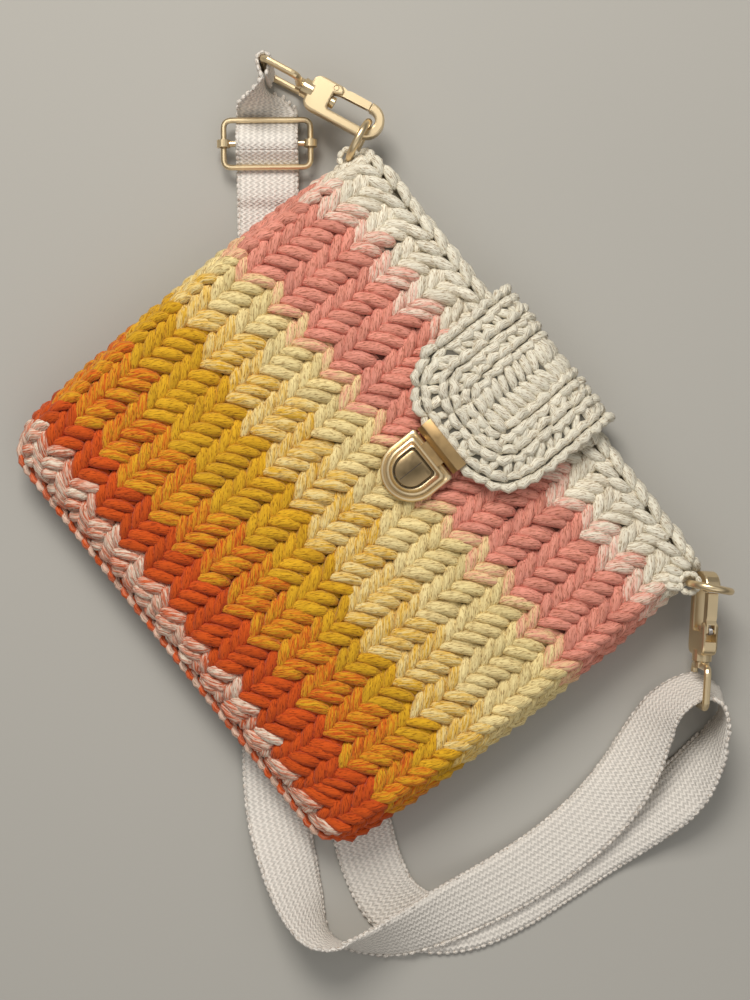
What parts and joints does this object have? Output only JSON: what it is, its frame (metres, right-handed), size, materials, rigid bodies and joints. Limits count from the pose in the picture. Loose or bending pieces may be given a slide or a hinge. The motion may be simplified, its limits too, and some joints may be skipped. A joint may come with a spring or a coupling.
{
  "type": "crochet_crossbody_bag",
  "caption": "Flat crocheted crossbody bag in striped cotton, with a tongue flap, push lock, corner rings, swivel snap hooks and an adjustable webbing strap.",
  "frame": {"origin": "on the surface the bag lies on, under the middle of the pouch's back", "axes": "+X to the bag's right as worn, +Y towards its mouth, +Z out of its front face"},
  "size_m": [0.3565, 0.239, 0.039],
  "materials": {
    "crochet": "matte twisted cotton in marled stripes",
    "off_white": "matte twisted cotton",
    "webbing": "matte woven webbing with a knobbly edge",
    "gold": "polished light gold plating",
    "spring_steel": "drawn wire"
  },
  "bodies": {
    "bag": {"bag_body": "crochet", "flap": "off_white", "strap": "webbing", "lock_base": "gold", "lock_case": "gold", "lock_back_plate": "gold", "lock_spring_left": "spring_steel", "lock_spring_right": "spring_steel", "tongue_clamp": "gold", "clamp_rivet_left": "gold", "clamp_rivet_right": "gold", "swivel_eye_left": "gold", "swivel_eye_right": "gold"},
    "button": {"lock_button": "gold"},
    "ring_left": {"ring_left": "gold"},
    "ring_right": {"ring_right": "gold"},
    "hook_left": {"hook_body_left": "gold", "gate_pin_left": "gold", "gate_spring_left": "spring_steel"},
    "hook_right": {"hook_body_right": "gold", "gate_pin_right": "gold", "gate_spring_right": "spring_steel"},
    "gate_left": {"gate_left": "gold"},
    "gate_right": {"gate_right": "gold"},
    "slider": {"slider_frame": "gold", "slider_bar": "gold"}
  },
  "joints": [
    {"name": "button_press", "type": "slide", "parent": "bag", "child": "button", "axis": [0, 0, -1], "range_m": [0, 0.0012], "stiffness_N_per_m": 800, "springref_m": -0.001, "deforming": ["lock_spring_left", "lock_spring_right"]},
    {"name": "ring_left_turn", "type": "hinge", "parent": "bag", "child": "ring_left", "pos_m": [-0.111, 0.085, 0.01695], "axis": [0, 0, -1], "range_deg": [-12, 2]},
    {"name": "ring_right_turn", "type": "hinge", "parent": "bag", "child": "ring_right", "pos_m": [0.111, 0.085, 0.02545], "axis": [0, 0, 1], "range_deg": [-12, 2]},
    {"name": "hook_left_swivel", "type": "hinge", "parent": "bag", "child": "hook_left", "pos_m": [-0.11764, 0.10065, 0.01695], "axis": [-0.9205, -0.3907, 0], "range_deg": [-11, 11]},
    {"name": "hook_right_swivel", "type": "hinge", "parent": "bag", "child": "hook_right", "pos_m": [0.11751, 0.09046, 0.01695], "axis": [0.7431, -0.6691, 0], "range_deg": [-1, 18]},
    {"name": "gate_left_open", "type": "hinge", "parent": "hook_left", "child": "gate_left", "pos_m": [-0.13636, 0.09868, 0.01695], "axis": [0, 0, -1], "range_deg": [0, 20], "stiffness_Nm_per_rad": 0.02, "springref_deg": -20.05, "deforming": ["gate_spring_left"]},
    {"name": "gate_right_open", "type": "hinge", "parent": "hook_right", "child": "gate_right", "pos_m": [0.13184, 0.07948, 0.02226], "axis": [-0.6463, -0.7178, 0.2588], "range_deg": [0, 20], "stiffness_Nm_per_rad": 0.02, "springref_deg": -20.05, "deforming": ["gate_spring_right"]},
    {"name": "slider_adjust", "type": "slide", "parent": "bag", "child": "slider", "axis": [0.788, -0.6157, 0], "range_m": [-0.003, 0.009], "deforming": ["strap"]}
  ]
}
